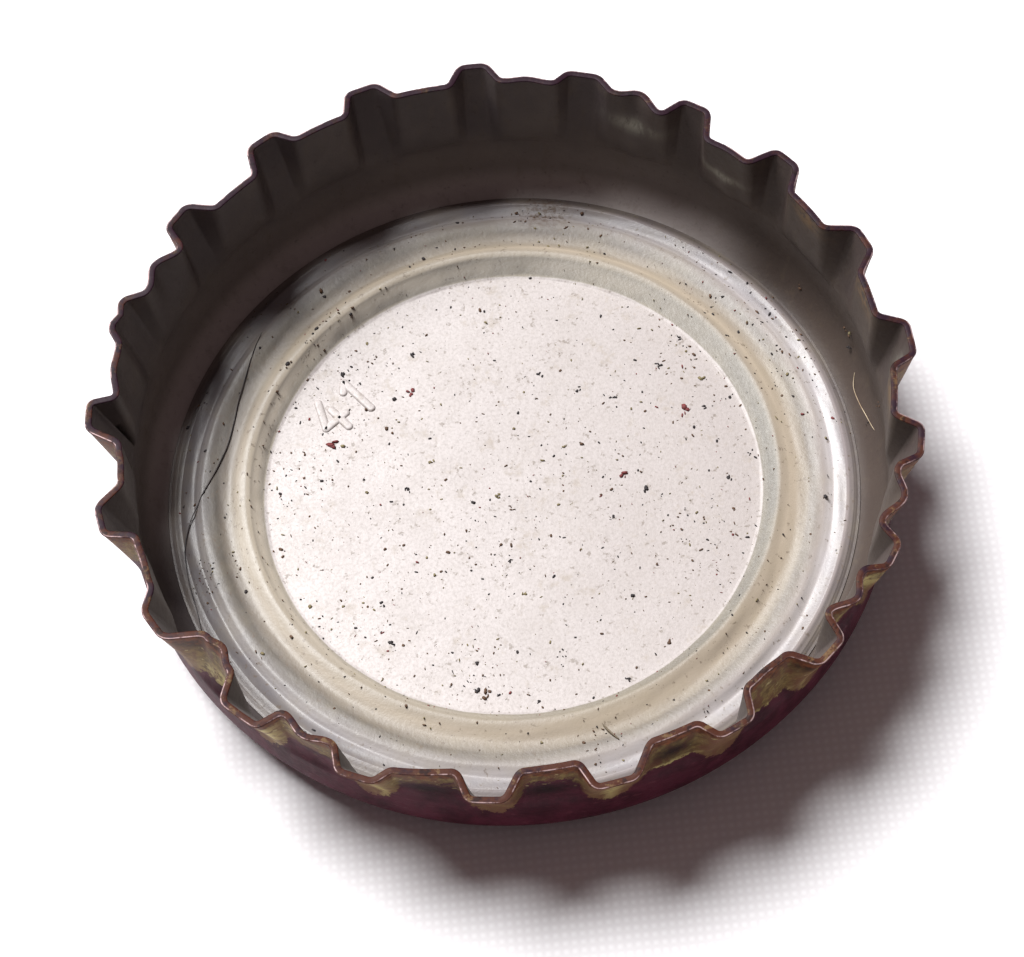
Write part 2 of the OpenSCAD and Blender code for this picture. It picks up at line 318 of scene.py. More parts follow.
def make_shell():
    """The pressed sheet as one closed surface: out along the panel, round the
    bend, up the fluted band, over the sheared rim and back down inside."""
    lines = band_lines()
    angle, share = lines[0], lines[1]
    around = np.stack([np.cos(angle), np.sin(angle)], -1)
    s = np.concatenate([np.linspace(0, 0.3, 10)[1:], np.linspace(0.3, 1, 15)[1:]])
    top = cap_h - tip_drop * share

    def band(s, h, dip=0.0):
        s = s[:, None]
        z = flute_z + s * (top - flute_z) - dip
        r = sheet_middle(lines, s) + unevenness(angle, z)
        crease = crease_depth * np.exp(-((z - flute_z) / crease_w) ** 2)
        side = np.sign(h) * (np.abs(h) - crease[..., None])
        xy = off_the_middle(r[..., None] * around, side)
        return np.concatenate([xy, z[..., None]], -1)

    def turned(profile):
        r, z = np.array(profile).T
        flat = r[:, None, None] * around
        high = np.broadcast_to(z[:, None, None], flat.shape[:2] + (1,))
        return np.concatenate([flat, high], -1)

    def pan(face):
        """Radius and height up one face of the pan, face nought outside."""
        turn = np.linspace(0, pi / 2, 9)
        r = corner_r - face
        panel = [(x, face) for x in (4, 8)]
        bend = np.stack([bend_mid + r * np.sin(turn),
                         corner_r - r * np.cos(turn)], -1)
        z = flute_z - np.array([0.9, 0.6, 0.35, 0.15, 0])
        skirt = np.stack([np.full(len(z), bend_mid + r), z], -1)
        skirt[-2:, 0] -= np.array([0.25, 1]) * crease_depth * (1 if face == 0 else -1)
        return np.concatenate([panel, bend, skirt])

    half = sheet_t / 2
    round_off = 0.06
    turn = np.linspace(0, pi, 9)[1:-1]
    lip_h = half * np.sign(np.cos(turn)) * np.abs(np.cos(turn)) ** 0.45
    lip_z = round_off * (1 - np.abs(np.sin(turn)) ** 0.45)
    outer, inner = band(s, half), band(s[::-1], -half)
    outer[-1, :, 2] -= round_off
    inner[0, :, 2] -= round_off
    lip = np.concatenate([
        band(np.ones(1), h, dip) for h, dip in zip(lip_h, lip_z)])
    out_pan, in_pan = turned(pan(0.0)), turned(pan(sheet_t))[::-1]
    grid = np.concatenate([out_pan, outer, lip, inner, in_pan])

    rings = [len(part) for part in (out_pan, outer, lip, inner, in_pan)]
    low = [(part[:, 0, 2] - flute_z) / (cap_h - flute_z) for part in (out_pan, in_pan)]
    up = np.concatenate([low[0], s, np.ones(rings[2]), s[::-1], low[1]])[:, None]
    inside = np.repeat([0, 0, 0.5, 1, 1], rings)[:, None].astype(float)
    cut = np.zeros(len(grid))
    cut[rings[0] + rings[1]:][:rings[2]] = np.sin(turn) ** 1.5
    over = np.repeat([0.0, 0.0, 0.0, 1.0, 1.0], rings)
    over[rings[0] + rings[1]:][:rings[2]] = (1 - np.cos(turn)) / 2
    marks = {"inside": inside, "cut": cut[:, None], "up": up,
             "tip": share[None, :], "over": over[:, None]}
    degrees = np.degrees(angle)[None, :]
    for mark, side, spots in RIM_SPOTS:
        weight = sum(spot(degrees, up, *place) for place in spots)
        marks[mark] = np.clip(weight, 0, 1) * (inside if side == "inside" else 1 - inside)
    return capped_rings("cap_shell", grid, (0, 0, 0), (0, 0, sheet_t), marks)


# ---------------------------------------------------------------- liner

shoulder_r = liner_r - 0.5
valley_r = shoulder_r - 0.45
bead_r = valley_r - 0.38
groove_r = bead_r - 0.87
crown_r = groove_r - 0.68
wall_r = crown_r - 0.18
film_r = wall_r - 0.4
film_t, feather_t = 0.1, 0.05
crown_h, groove_h, bead_h, valley_h, edge_h = 0.92, 0.5, 0.7, 0.44, 0.52
wall_round = 0.06
shoulder_fall = 0.26
bend_in = corner_r - sheet_t - liner_gap
turned_depth, turned_pitch = 0.008, 0.11


def up_bend(r, t):
    """Height, at a radius, of a layer t thick on the inside of the bend."""
    return bend_in - np.sqrt((bend_in - t) ** 2 - np.clip(r - bend_mid, 0, None) ** 2)


def swell(a, b, steps):
    """Points from a to b on half a cosine wave, the last left out."""
    w = np.linspace(0, 1, steps + 1)[:-1]
    return np.stack([a[0] + (b[0] - a[0]) * w,
                     a[1] + (b[1] - a[1]) * (1 - np.cos(pi * w)) / 2], -1)


def liner_top():
    """Radius and height of the liner's top from the film's middle outward:
    film, a small fillet, the leaning wall, a rounded lip, swells from bead to
    bead, the shoulder's fall, and the edge that thins out up the bend."""
    r = np.array([0.8, 1.6, 2.4, 3.2, 4, 4.8, 5.6, 6.4, 7.2, 8, 8.5])
    film = np.stack([r, np.full(len(r), film_t)], -1)
    turn = np.linspace(0, 1, 7)
    foot = np.stack([film_r - 0.12 + 0.16 * turn,
                     film_t + 0.09 * turn ** 2.2], -1)
    high = crown_h - wall_round
    wall = np.stack([np.linspace(film_r + 0.06, wall_r, 9),
                     np.linspace(film_t + 0.12, high - 0.14, 9)], -1)
    lip = np.array([[wall_r + 0.03, high - 0.09], [wall_r + 0.07, high - 0.03],
                    [wall_r + 0.12, high + 0.02]])
    knots = [(crown_r, crown_h), (groove_r, groove_h), (bead_r, bead_h),
             (valley_r, valley_h), (shoulder_r, edge_h)]
    hills = [swell(a, b, 12) for a, b in zip(knots, knots[1:-1])]
    way = np.linspace(0, 1, 13)[:-1]
    hills.append(np.stack([valley_r + (shoulder_r - valley_r) * way,
                           valley_h + (edge_h - valley_h) * way ** 1.3], -1))
    foot_r = shoulder_r + shoulder_fall
    r = np.linspace(foot_r, liner_r - 0.02, 20)
    thick = feather_t + 0.2 * np.linspace(1, 0, 20) ** 1.5
    edge = np.stack([r, up_bend(r, thick)], -1)
    fall = swell(knots[-1], edge[0], 7)
    return np.concatenate([film, foot, wall, lip] + hills + [fall, edge])


def liner_under():
    """Radius and height of the underside, from the liner's edge back in along
    the bend's inside and the panel."""
    r = bend_mid + (liner_r - bend_mid) * np.linspace(1, 0, 6)
    return np.concatenate([np.stack([r, up_bend(r, 0.0)], -1), [(8, 0), (4, 0)]])


def make_liner():
    """The moulded ring and its film, turned from one profile. The foot of the
    wall is a little ragged, and the beads rise and fall by a few hundredths
    round the cap, each by its own slow sines. The thin edge has fine rings, as
    a turned mould leaves."""
    profile = np.concatenate([liner_top(), liner_under()])
    angle = np.linspace(0, 2 * pi, 720, endpoint=False)
    r, z = profile[:, 0, None], profile[:, 1, None]
    top = (np.arange(len(profile)) < len(liner_top()))[:, None]
    ragged = (0.018 * np.sin(9 * angle + 1) + 0.012 * np.sin(23 * angle)
              + 0.008 * np.sin(61 * angle + 2))
    r = r + ragged * np.exp(-((r - film_r) / 0.2) ** 2) * top * (z < crown_h - 0.2)
    high = (0.016 * np.sin(3 * angle + 5 * r) + 0.01 * np.sin(7 * angle - 9 * r)
            + 0.005 * np.sin(19 * angle + 14 * r))
    z = z + high * top * smooth(film_r, crown_r, r) * smooth(liner_r, shoulder_r, r)
    sag = 0.012 * np.sin(2 * angle + r) * smooth(0.5, 3, r) * smooth(8.7, 7, r)
    turned = turned_depth * np.sin(2 * pi * r / turned_pitch)
    turned = turned * (0.6 + 0.4 * np.cos(angle - 0.3))
    on_edge = smooth(liner_r - 0.3, liner_r - 0.2, r) * smooth(liner_r - 0.02, liner_r - 0.1, r)
    z = z + (sag + turned * on_edge) * top
    x, y = r * np.cos(angle), r * np.sin(angle)
    grid = np.stack([x, y, np.broadcast_to(z + base_z, x.shape)], -1)
    # the profile runs outward on top, so its rings are taken in reverse order
    grid = grid[::-1]
    return capped_rings("sealing_liner", grid, (0, 0, base_z),
                        (0, 0, base_z + film_t))


# ---------------------------------------------------------------- finish tools

class Finish:
    """Short names for building a finish out of shader nodes."""

    def __init__(self, name):
        self.material = bpy.data.materials.new(name)
        self.material.use_nodes = True
        self.tree = self.material.node_tree
        self.shader = self.tree.nodes["Principled BSDF"]
        self.place = self.tree.nodes.new("ShaderNodeTexCoord").outputs["Object"]

    def put(self, socket, value):
        """Joins a socket to another node's output, or gives it a constant."""
        if isinstance(value, bpy.types.NodeSocket):
            self.tree.links.new(value, socket)
        elif hasattr(value, "__len__") and len(value) == 3 and socket.type == "RGBA":
            socket.default_value = (*value, 1)
        else:
            socket.default_value = value

    def node(self, kind, **settings):
        made = self.tree.nodes.new(kind)
        for key, value in settings.items():
            setattr(made, key, value)
        return made

    def sum(self, kind, a, b=0.0, c=0.0):
        made = self.node("ShaderNodeMath", operation=kind)
        for socket, value in zip(made.inputs, (a, b, c)):
            self.put(socket, value)
        return made.outputs[0]

    def mark(self, name):
        return self.node("ShaderNodeAttribute", attribute_name=name).outputs["Fac"]

    def noise(self, scale, detail=2.0, rough=0.5, place=None, warp=0.0):
        """Smooth random pattern, scale in patterns a millimetre."""
        made = self.node("ShaderNodeTexNoise")
        self.put(made.inputs["Vector"], place or self.place)
        self.put(made.inputs["Scale"], scale / MM)
        self.put(made.inputs["Detail"], detail)
        self.put(made.inputs["Roughness"], rough)
        self.put(made.inputs["Distortion"], warp)
        return made.outputs["Fac"]

    def stretched(self, x, y, z, turn=(0, 0, 0)):
        made = self.node("ShaderNodeMapping")
        self.put(made.inputs["Vector"], self.place)
        made.inputs["Scale"].default_value = (x, y, z)
        made.inputs["Rotation"].default_value = turn
        return made.outputs[0]

    def ramp(self, value, low, high, start=0.0, end=1.0):
        made = self.node("ShaderNodeMapRange", interpolation_type="SMOOTHSTEP")
        for key, v in zip(("Value", "From Min", "From Max", "To Min", "To Max"),
                          (value, low, high, start, end)):
            self.put(made.inputs[key], v)
        return made.outputs["Result"]

    def ramp_line(self, value, low, high):
        made = self.node("ShaderNodeMapRange")
        for key, v in zip(("Value", "From Min", "From Max"), (value, low, high)):
            self.put(made.inputs[key], v)
        return made.outputs["Result"]

    def mix(self, share, a, b):
        made = self.node("ShaderNodeMix", data_type="RGBA")
        self.put(made.inputs[0], share)
        self.put(made.inputs[6], a)
        self.put(made.inputs[7], b)
        return made.outputs[2]

    def rings(self, flat, stops):
        """A tint or a value that changes with the distance from the axis: its
        stops are a radius in millimetres and a colour, or a number."""
        low, high = stops[0][0] - 0.1, stops[-1][0] + 0.1
        made = self.node("ShaderNodeValToRGB")
        self.put(made.inputs[0], self.ramp_line(flat, low * MM, high * MM))
        while len(made.color_ramp.elements) < len(stops):
            made.color_ramp.elements.new(0.5)
        for element, (r, value) in zip(made.color_ramp.elements, stops):
            tint = colour(*value) if isinstance(value, tuple) else (value,) * 3
            element.position = (r - low) / (high - low)
            element.color = (*tint, 1)
        return made.outputs[0]

    def parts(self):
        """The place split up, as x, y, z and distance from the cap's axis."""
        split = self.node("ShaderNodeSeparateXYZ")
        self.put(split.inputs[0], self.place)
        x, y, z = split.outputs
        flat = self.sum("SQRT", self.sum("ADD", self.sum("MULTIPLY", x, x),
                                         self.sum("MULTIPLY", y, y)))
        return x, y, z, flat

    def eased_normal(self, share):
        """The surface's own normal turned part of the way to upright, which
        evens out light and shade as the glow inside a milky moulding does."""
        made = self.node("ShaderNodeMix", data_type="VECTOR")
        self.put(made.inputs[0], share)
        self.put(made.inputs[4], self.node("ShaderNodeNewGeometry").outputs["Normal"])
        made.inputs[5].default_value = (0, 0, 1)
        unit = self.node("ShaderNodeVectorMath", operation="NORMALIZE")
        self.put(unit.inputs[0], made.outputs[1])
        return unit.outputs[0]

    def bump(self, height, depth, strength=1.0, normal=None):
        """Fine relief; depth in millimetres for a pattern from 0 to 1."""
        made = self.node("ShaderNodeBump")
        self.put(made.inputs["Height"], height)
        self.put(made.inputs["Distance"], depth * MM)
        self.put(made.inputs["Strength"], strength)
        if normal:
            self.put(made.inputs["Normal"], normal)
        return made.outputs[0]

    def set(self, **values):
        for key, value in values.items():
            self.put(self.shader.inputs[key.replace("_", " ")], value)
        return self.material


def colour(r, g, b):
    """A colour given on the usual 0 to 255 scale, as the shader takes it."""
    c = np.array([r, g, b]) / 255
    return tuple(np.where(c <= 0.04045, c / 12.92, ((c + 0.055) / 1.055) ** 2.4))


# ---------------------------------------------------------------- number and dirt

def surface_height(x, y):
    """Height of whatever faces up inside the cap at a place: the film, the
    liner's rings, then the bend of the sheet outside the liner's edge."""
    profile = liner_top()
    bend = np.linspace(liner_r + 0.02, skirt_r - sheet_t, 12)
    r = np.append(profile[:, 0], bend)
    face = corner_r - sheet_t
    high = corner_r - np.sqrt(np.clip(face ** 2 - (bend - bend_mid) ** 2, 0, None))
    return np.interp(np.hypot(x, y), r, np.append(profile[:, 1] + base_z, high))


def make_number():
    """A raised two-figure number on the film. Each stroke is a low flat-topped
    ridge with round ends: an outline at each end is a half circle, its rings
    shrink to the stroke's middle line, and the height falls off as 1 - p^6."""
    rings = np.array([1, 0.93, 0.84, 0.72, 0.55, 0.3])
    angle = np.linspace(0, 2 * pi, 28, endpoint=False)
    run = np.array([cos(NUMBER_TURN), sin(NUMBER_TURN)])
    rise_way = np.array([-run[1], run[0]])
    parts, faces, tris = [], [], []
    for n, (x0, y0, x1, y1) in enumerate(NUMBER_STROKES):
        start = NUMBER_PLACE + x0 * run + y0 * rise_way
        end = NUMBER_PLACE + x1 * run + y1 * rise_way
        along = (end - start) / np.linalg.norm(end - start)
        beside = np.array([-along[1], along[0]])
        out = np.cos(angle)[:, None] * along + np.sin(angle)[:, None] * beside
        base = np.where(np.cos(angle)[:, None] > 0, end, start)
        xy = base + rings[:, None, None] * STROKE_W / 2 * out
        z = base_z + film_t - 0.03 + (STROKE_H + 0.03) * (1 - rings ** 6)
        grid = np.concatenate([xy, np.broadcast_to(z[:, None, None], xy.shape[:2] + (1,))], -1)
        parts.append(grid.reshape(-1, 3))
        first = n * len(rings) * len(angle)
        faces.append(ring_faces(len(rings), len(angle)) + first)
        # the last ring and the sunk first ring are each closed by a strip of
        # triangles across the stroke
        for ring, way in ((len(rings) - 1, 1), (0, -1)):
            edge = first + ring * len(angle) + np.arange(len(angle))
            fan = np.stack([np.full(len(angle) - 2, edge[0]), edge[1:-1], edge[2:]], -1)
            tris.append(fan[:, ::way])
    return mesh_piece("mould_number", np.concatenate(parts), np.concatenate(faces),
                      np.concatenate(tris))


def grains(name, places, sizes, tones, rng):
    """Grains of dirt: each a twenty-faced ball stretched along its length,
    flattened, turned about the upright and pushed out of round at random.
    Places are the grains' middles, sizes their lengths."""
    g = (1 + 5 ** 0.5) / 2
    ball = np.array([
        (-1, g, 0), (1, g, 0), (-1, -g, 0), (1, -g, 0), (0, -1, g), (0, 1, g),
        (0, -1, -g), (0, 1, -g), (g, 0, -1), (g, 0, 1), (-g, 0, -1), (-g, 0, 1)])
    ball /= np.linalg.norm(ball[0])
    sides = np.array([
        (0, 11, 5), (0, 5, 1), (0, 1, 7), (0, 7, 10), (0, 10, 11), (1, 5, 9),
        (5, 11, 4), (11, 10, 2), (10, 7, 6), (7, 1, 8), (3, 9, 4), (3, 4, 2),
        (3, 2, 6), (3, 6, 8), (3, 8, 9), (4, 9, 5), (2, 4, 11), (6, 2, 10),
        (8, 6, 7), (9, 8, 1)])
    count = len(places)
    shape = ball * rng.uniform(0.75, 1.25, (count, 12, 1))
    girth = np.stack([np.ones(count), rng.uniform(0.25, 0.8, count),
                      rng.uniform(0.2, 0.45, count)], -1)
    shape = shape * girth[:, None, :] * (np.asarray(sizes) / 2)[:, None, None]
    turn = rng.uniform(0, pi, count)
    c, s = np.cos(turn)[:, None], np.sin(turn)[:, None]
    points = np.stack([shape[..., 0] * c - shape[..., 1] * s,
                       shape[..., 0] * s + shape[..., 1] * c, shape[..., 2]], -1)
    points += np.asarray(places)[:, None, :]
    tris = (sides + 12 * np.arange(count)[:, None, None]).reshape(-1, 3)
    return mesh_piece(name, points.reshape(-1, 3), np.empty((0, 4), int), tris,
                      {"tone": np.repeat(tones, 12)})


def make_specks():
    """The dirt on the film, on the liner's rings and at the foot of the
    skirt: the large crumbs at their own places, each a few grains stuck
    together, the fine ones scattered, and some stuck to the skirt."""
    rng = np.random.default_rng(31)
    large = np.array(LARGE_SPECKS)
    crumb = np.repeat(large, GRAINS_IN_CRUMB, 0)
    crumb[:, :2] += rng.normal(0, 0.2, (len(crumb), 2)) * crumb[:, 2:3]
    crumb[:, 2] *= rng.uniform(0.3, 0.7, len(crumb))
    # the fine ones lie thickest in drifts round a few middles
    drift = np.array(DRIFTS)
    pick = rng.choice(len(drift), FINE_IN_DRIFTS, p=drift[:, 3] / drift[:, 3].sum())
    fine = drift[pick, :2] + rng.normal(0, 1, (len(pick), 2)) * drift[pick, 2:3]
    r = np.sqrt(rng.uniform(0, 1, FINE_ALL_OVER)) * liner_r
    a = rng.uniform(0, 2 * pi, FINE_ALL_OVER)
    xy = np.concatenate([crumb[:, :2], fine, np.stack([r * np.cos(a), r * np.sin(a)], -1)])
    small = rng.lognormal(np.log(0.068), 0.5, len(xy) - len(crumb))
    size = np.concatenate([crumb[:, 2], np.clip(small, 0.025, 0.2)])
    tone = np.concatenate([crumb[:, 3], rng.choice(
        [0, 0.3, 0.6, 1], len(small), p=[0.36, 0.4, 0.06, 0.18])])
    keep = (np.hypot(*xy.T) < liner_r - 0.1)
    xy, size, tone = xy[keep], size[keep], tone[keep]
    z = surface_height(*xy.T) + 0.08 * size
    wall = np.array(WALL_CRUMBS)
    wall = np.repeat(wall, GRAINS_ON_WALL, 0)
    stuck = wall[:, :3] + rng.normal(0, 0.35, (len(wall), 3)) * wall[:, 3:4]
    wide = wall[:, 3] * rng.uniform(0.4, 0.9, len(wall))
    places = np.concatenate([np.column_stack([xy, z]), stuck])
    return grains("specks", places, np.append(size, wide),
                  np.append(tone, wall[:, 4]), rng)


def carried(name, route, girth, sides=8):
    """A thread: a circle of the given radii carried along a route, upright in
    the plane across it, and drawn to a point at both ends."""
    along = np.gradient(route, axis=0)
    along /= np.linalg.norm(along, axis=1, keepdims=True)
    beside = np.cross(along, (0, 0, 1))
    beside /= np.linalg.norm(beside, axis=1, keepdims=True)
    over = np.cross(beside, along)
    a = np.linspace(0, 2 * pi, sides, endpoint=False)[:, None]
    ring = beside[:, None] * np.cos(a) + over[:, None] * np.sin(a)
    grid = route[:, None] + ring * girth[:, None, None]
    return capped_rings(name, grid[:, ::-1], route[0] - along[0] * girth[0],
                        route[-1] + along[-1] * girth[-1])


def smooth_route(stops, steps, lift):
    """A smooth curve through stops given as x, y: Catmull-Rom pieces, laid on
    the surface with the bumps under it evened out, and lifted a little."""
    p = np.array(stops, float)
    p = np.concatenate([[2 * p[0] - p[1]], p, [2 * p[-1] - p[-2]]])
    t = np.linspace(0, 1, steps, endpoint=False)[:, None]
    a, b, c, d = (p[i:len(p) - 3 + i, None] for i in range(4))
    curve = 0.5 * (2 * b + (c - a) * t + (2 * a - 5 * b + 4 * c - d) * t ** 2
                   + (3 * b - a - 3 * c + d) * t ** 3)
    xy = np.concatenate([curve.reshape(-1, 2), p[-2:-1]])
    z = surface_height(*xy.T)
    wide = np.ones(2 * steps + 1) / (2 * steps + 1)
    even = np.convolve(np.pad(z, steps, "edge"), wide, "valid")
    return np.column_stack([xy, np.maximum(z, even) + lift])


def tapered(count, girth):
    """Radii of a thread that thins towards both ends."""
    w = np.linspace(0, 1, count)
    return girth * (0.25 + 0.75 * np.sin(pi * w) ** 0.35)


# ---------------------------------------------------------------- finishes

def tinplate_finish():
    """Printed tinplate: dark maroon outside, worn through to an olive ground near the rim, a
    rusty edge with a broken bright line where it was sheared, and a dull lacquer inside.
    Painted shade darkens the pockets of the lands below the rim, the flutes' channels inside
    and the lacquer towards +X; painted light makes the lacquer paler at the skirt's foot on one
    side, and painted highlights lie on the dents inside."""
    f = Finish("printed_tinplate")
    x, y, z = f.parts()[:3]
    inside, cut, up, tip, over = (f.mark(m) for m in ("inside", "cut", "up", "tip", "over"))
    cloud = f.noise(0.5, 3)
    grain = f.noise(4, 4, 0.65)
    blotch = f.sum("SUBTRACT", f.noise(1.1, 4, 0.65), 0.5)
    streak = f.noise(2.2, 4, 0.7, place=f.stretched(1, 1, 0.35))
    ragged = f.noise(5, 4, 0.7)
    patchy = f.ramp(f.noise(2.6, 4, 0.65), 0.36, 0.56)

    # the lacquer inside, streaked and stained, with painted shade that makes it darker towards
    # +X and in the flutes' channels, and painted light that makes it paler at the skirt's foot
    # on one side
    lacquer = f.mix(f.ramp(cloud, 0.35, 0.7), colour(80, 73, 73), colour(93, 85, 82))
    # painted shade: darker towards +X, the side that the light falls on
    lacquer = f.mix(f.ramp(x, 1 * MM, 11 * MM, 0, 0.75), lacquer, colour(66, 54, 46))
    # painted light: the lacquer is paler at the skirt's foot and lowest down, on one side
    foot = f.ramp(z, 3.6 * MM, 1.2 * MM)
    far = f.sum("MULTIPLY_ADD", x, cos(PAINTED_LIGHT_SIDE), f.sum("MULTIPLY", y, sin(PAINTED_LIGHT_SIDE)))
    painted_light_mask = f.ramp(far, 2.5 * MM, 9 * MM)
    lacquer = f.mix(f.sum("MULTIPLY", foot, painted_light_mask), lacquer, colour(124, 116, 113))
    low = f.ramp(z, 1.5 * MM, 0.7 * MM)
    lacquer = f.mix(f.sum("MULTIPLY", low, painted_light_mask), lacquer, colour(166, 157, 153))
    # painted shade in the flutes' channels inside
    painted_channel_shade = f.sum("MULTIPLY", tip, f.ramp(up, 0.05, 0.3))
    lacquer = f.mix(f.sum("MULTIPLY", painted_channel_shade, 0.25), lacquer, colour(60, 50, 58))
    lacquer = f.mix(f.ramp(streak, 0.5, 0.75, 0, 0.25), lacquer, colour(96, 84, 68))
    lacquer = f.mix(f.ramp(grain, 0.6, 0.72, 0, 0.3), lacquer, colour(46, 36, 34))
    lacquer = f.mix(f.sum("MULTIPLY", patchy, f.mark("gold")), lacquer,
                    colour(122, 96, 64))
    # painted highlights: pale patches on the dents inside the lands
    lacquer = f.mix(f.sum("MULTIPLY", f.ramp(streak, 0.36, 0.56, 0.3, 1), f.mark("painted_highlight")),
                    lacquer, colour(150, 150, 138))

    # the print outside
    maroon = f.mix(f.ramp(f.noise(0.9, 5, 0.65), 0.34, 0.66), colour(54, 15, 28),
                   colour(80, 31, 46))
    scuff = f.noise(7, 3, 0.6, place=f.stretched(0.3, 0.3, 1))
    maroon = f.mix(f.ramp(scuff, 0.6, 0.72, 0, 0.4), maroon, colour(112, 62, 72))
    olive = f.mix(f.ramp(grain, 0.35, 0.65), colour(88, 68, 42), colour(130, 110, 68))
    olive = f.mix(f.ramp(streak, 0.44, 0.6, 0, 0.85), olive, colour(96, 60, 46))
    olive = f.mix(f.sum("MULTIPLY", tip, 0.6), olive, colour(116, 82, 64))
    olive = f.mix(f.sum("MULTIPLY", patchy, f.mark("cream")), olive,
                  colour(196, 182, 122))
    reach = f.sum("ADD", f.sum("MULTIPLY_ADD", blotch, 0.55, up),
                  f.sum("MULTIPLY_ADD", tip, 0.22, f.mark("worn")))
    reach = f.sum("MULTIPLY_ADD", f.sum("SUBTRACT", ragged, 0.5), 0.7, reach)
    outside = f.mix(f.ramp(reach, 0.63, 0.68), maroon, olive)
    chips = f.ramp(f.noise(3.2, 3, 0.6), 0.64, 0.7)
    outside = f.mix(f.sum("MULTIPLY", chips, f.ramp(up, 0.1, 0.5)), outside,
                    colour(160, 146, 104))
    # painted shade: the dark mark, near black in the drawn-in pockets of the lands below the
    # rim
    outside = f.mix(f.sum("MULTIPLY", f.ramp(ragged, 0.25, 0.5, 0.6, 1), f.mark("dark")),
                    outside, colour(24, 6, 10))
    rusty = f.sum("MULTIPLY_ADD", blotch, 0.3, f.sum("MULTIPLY_ADD", ragged, 0.3, up))
    rust = f.mix(f.ramp(grain, 0.3, 0.7), colour(62, 32, 22), colour(120, 70, 42))
    outside = f.mix(f.ramp(rusty, 0.96, 1.06), outside, rust)

    body = f.mix(f.ramp(inside, 0.4, 0.6), outside, lacquer)
    rusted = f.ramp(f.sum("MULTIPLY_ADD", y, -0.008 / MM, f.noise(1.3, 4, 0.7)),
                    0.42, 0.62)
    edge = f.mix(rusted, colour(38, 18, 30), colour(70, 36, 24))
    edge = f.mix(f.ramp(f.noise(1.9, 4, 0.7), 0.54, 0.64, 0, 0.8), edge,
                 f.mix(rusted, colour(24, 12, 18), colour(112, 88, 60)))
    edge = f.mix(f.ramp(f.noise(2.6, 3, 0.6), 0.56, 0.64, 0, 0.8), edge, colour(30, 15, 16))
    body = f.mix(f.ramp(cut, 0.05, 0.25), body, edge)
    line = f.sum("MULTIPLY", f.ramp(over, 0.03, 0.12), f.ramp(over, 0.36, 0.24))
    broken = f.ramp(f.noise(1.1, 5, 0.75), 0.44, 0.6, 0.06, 0.95)
    bright = f.sum("MULTIPLY", line, broken)
    body = f.mix(bright, body, colour(186, 160, 160))
    return f.set(Base_Color=body,
                 Roughness=f.sum("MULTIPLY_ADD", grain, 0.22, 0.4),
                 Specular_IOR_Level=f.sum("MULTIPLY_ADD", cut, -0.1,
                                          f.ramp(inside, 0.4, 0.6, 0.12, 0.3)),
                 Metallic=f.sum("MULTIPLY", bright, 0.4),
                 Normal=f.bump(grain, 0.014))


def liner_finish():
    """The moulded compound, milky over the tin: one tint for each ring from the film out, with
    dust and stains. The tints hold painted light and shade, changing from one side of the cap
    to the other."""
    f = Finish("sealing_compound")
    x, y, _, flat = f.parts()
    cloud = f.noise(0.6, 4, 0.6)
    fine = f.noise(5, 4, 0.7)
    # painted light and shade: the rings' tints change from one side of the cap to the other
    side = f.sum("DIVIDE", f.sum("MULTIPLY_ADD", x, cos(PAINTED_SHADE_SIDE),
                                 f.sum("MULTIPLY", y, sin(PAINTED_SHADE_SIDE))), flat)
    ring = f.mix(f.ramp_line(side, -1.0, 1.0), f.rings(flat, AWAY_SHADED_TINTS),
                 f.rings(flat, NEAR_SHADED_TINTS))
    compound = f.mix(f.ramp(cloud, 0.35, 0.75, 0, 0.22), ring, colour(150, 138, 112))
    # a brown stain from the skirt's foot in across the outer rings
    squares = [f.sum("POWER", f.sum("SUBTRACT", axis, middle * MM), 2.0)
               for axis, middle in zip((x, y), STAIN_PLACE)]
    away = f.sum("POWER", f.sum("ADD", *squares), 0.5)
    stain = f.sum("MULTIPLY", f.ramp(away, 1.5 * MM, 0.1 * MM), f.ramp(fine, 0.4, 0.62))
    compound = f.mix(stain, compound, colour(92, 74, 60))

    film = f.ramp(flat, (film_r + 0.03) * MM, (film_r - 0.03) * MM)
    # painted sheen: the film is lighter towards -X and darker towards +X
    across = f.ramp_line(x, -8 * MM, 9 * MM)
    silver = f.mix(across, colour(194, 187, 185), colour(166, 157, 154))
    silver = f.mix(f.ramp(cloud, 0.4, 0.65, 0, 0.3), silver, colour(166, 157, 152))
    smear = f.ramp(f.noise(1.4, 5, 0.7), 0.54, 0.72, 0, 0.5)
    silver = f.mix(smear, silver, colour(146, 132, 114))
    silver = f.mix(f.ramp(f.noise(9, 3, 0.6), 0.4, 0.7, 0, 0.4), silver,
                   colour(144, 136, 131))
    dust = f.ramp(f.noise(4, 4, 0.65), 0.6, 0.68, 0, 0.6)
    body = f.mix(dust, f.mix(film, compound, silver), colour(104, 90, 76))
    gloss = f.sum("MULTIPLY_ADD", fine, 0.16, f.rings(flat, RING_ROUGHNESS))
    eased = f.eased_normal(f.rings(flat, RING_GLOW))
    return f.set(Base_Color=body, Roughness=gloss,
                 Normal=f.bump(fine, 0.01, normal=eased))


def speck_finish():
    """Dirt: near black, brown, red or olive by each grain's tone."""
    f = Finish("dirt")
    tone = f.mark("tone")
    tint = f.mix(f.ramp(tone, 0.1, 0.2), colour(44, 38, 40), colour(92, 66, 46))
    tint = f.mix(f.ramp(tone, 0.4, 0.5), tint, colour(120, 52, 52))
    tint = f.mix(f.ramp(tone, 0.75, 0.85), tint, colour(128, 116, 82))
    fine = f.noise(12, 3)
    tint = f.mix(f.ramp(fine, 0.3, 0.7, 0, 0.35), tint, colour(30, 24, 24))
    return f.set(Base_Color=tint, Roughness=0.75, Normal=f.bump(fine, 0.01))


